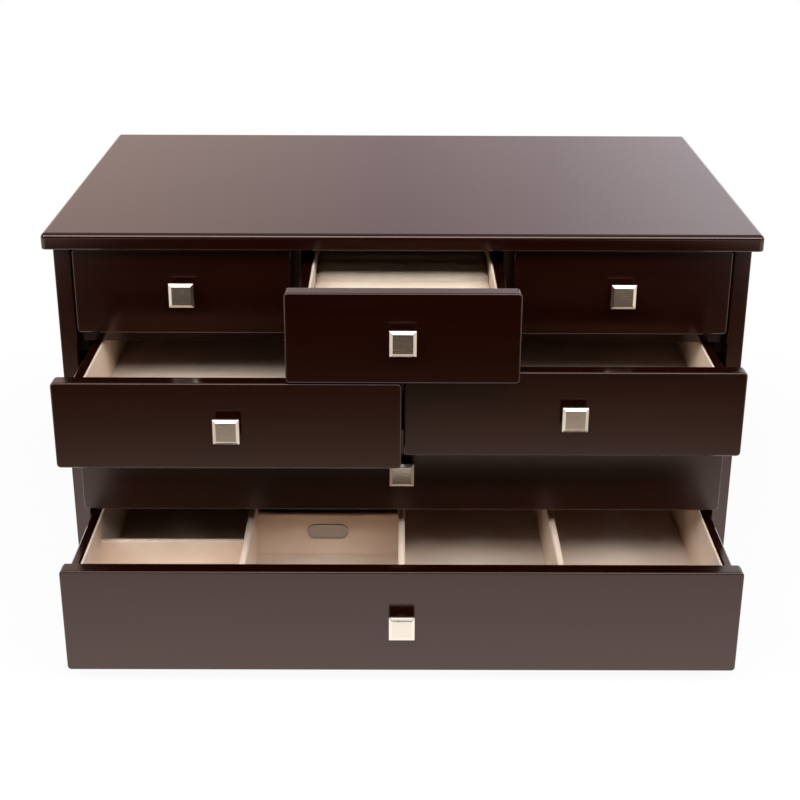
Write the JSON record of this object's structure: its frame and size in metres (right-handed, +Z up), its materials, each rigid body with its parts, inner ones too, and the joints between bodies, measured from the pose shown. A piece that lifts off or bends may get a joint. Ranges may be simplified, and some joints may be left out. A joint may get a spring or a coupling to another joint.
{
  "type": "jewelry box",
  "caption": "Free-standing dark wooden jewelry box with rows of lined drawers on square metal knobs, ring rolls in one drawer and dividers in the lowest.",
  "frame": {"origin": "middle of the case's underside, on the felt face that the box stands on", "axes": "+X to the right along the drawer fronts, +Y to the back of the case (the fronts face -Y), +Z up"},
  "size_m": [0.406, 0.3557, 0.2365],
  "materials": {
    "dark_wood": "satin lacquer",
    "lining": "short-napped",
    "base_felt": "felt",
    "knob_metal": "satin nickel",
    "screw_steel": "zinc plated",
    "plate_metal": "satin"
  },
  "bodies": {
    "case": {"top_slab": "dark_wood", "left_side_panel": "dark_wood", "right_side_panel": "dark_wood", "back_panel": "dark_wood", "base_board": "dark_wood", "upper_dust_board": "dark_wood", "middle_dust_board": "dark_wood", "lower_dust_board": "dark_wood", "top_row_partitions": "dark_wood", "second_row_partition": "dark_wood", "side_guides": "dark_wood", "base_felt": "base_felt"},
    "top_left_drawer": {"top_left_front": "dark_wood", "top_left_box": "dark_wood", "top_left_floor": "dark_wood", "top_left_lining": "lining", "top_left_knob": "knob_metal", "top_left_knob_screw": "screw_steel"},
    "top_centre_drawer": {"top_centre_front": "dark_wood", "top_centre_box": "dark_wood", "top_centre_floor": "dark_wood", "top_centre_lining": "lining", "top_centre_knob": "knob_metal", "top_centre_knob_screw": "screw_steel", "ring_rolls": "lining"},
    "top_right_drawer": {"top_right_front": "dark_wood", "top_right_box": "dark_wood", "top_right_floor": "dark_wood", "top_right_lining": "lining", "top_right_knob": "knob_metal", "top_right_knob_screw": "screw_steel"},
    "second_left_drawer": {"second_left_front": "dark_wood", "second_left_box": "dark_wood", "second_left_floor": "dark_wood", "second_left_lining": "lining", "second_left_knob": "knob_metal", "second_left_knob_screw": "screw_steel"},
    "second_right_drawer": {"second_right_front": "dark_wood", "second_right_box": "dark_wood", "second_right_floor": "dark_wood", "second_right_lining": "lining", "second_right_knob": "knob_metal", "second_right_knob_screw": "screw_steel"},
    "third_drawer": {"third_front": "dark_wood", "third_box": "dark_wood", "third_floor": "dark_wood", "third_lining": "lining", "third_knob": "knob_metal", "third_knob_screw": "screw_steel"},
    "bottom_drawer": {"bottom_front": "dark_wood", "bottom_box": "dark_wood", "bottom_floor": "dark_wood", "bottom_lining": "lining", "bottom_knob": "knob_metal", "bottom_knob_screw": "screw_steel", "long_dividers": "lining", "left_cross_divider": "lining", "centre_cross_divider": "lining", "blank_plate": "plate_metal"}
  },
  "joints": [
    {"name": "top_left_drawer_slide", "type": "slide", "parent": "case", "child": "top_left_drawer", "axis": [0, -1, 0], "range_m": [0, 0.17]},
    {"name": "top_centre_drawer_slide", "type": "slide", "parent": "case", "child": "top_centre_drawer", "axis": [0, -1, 0], "range_m": [-0.078, 0.092]},
    {"name": "top_right_drawer_slide", "type": "slide", "parent": "case", "child": "top_right_drawer", "axis": [0, -1, 0], "range_m": [0, 0.17]},
    {"name": "second_left_drawer_slide", "type": "slide", "parent": "case", "child": "second_left_drawer", "axis": [0, -1, 0], "range_m": [-0.0767, 0.0933]},
    {"name": "second_right_drawer_slide", "type": "slide", "parent": "case", "child": "second_right_drawer", "axis": [0, -1, 0], "range_m": [-0.0589, 0.1111]},
    {"name": "third_drawer_slide", "type": "slide", "parent": "case", "child": "third_drawer", "axis": [0, -1, 0], "range_m": [-0.0196, 0.1504]},
    {"name": "bottom_drawer_slide", "type": "slide", "parent": "case", "child": "bottom_drawer", "axis": [0, -1, 0], "range_m": [-0.0941, 0.0759]}
  ]
}
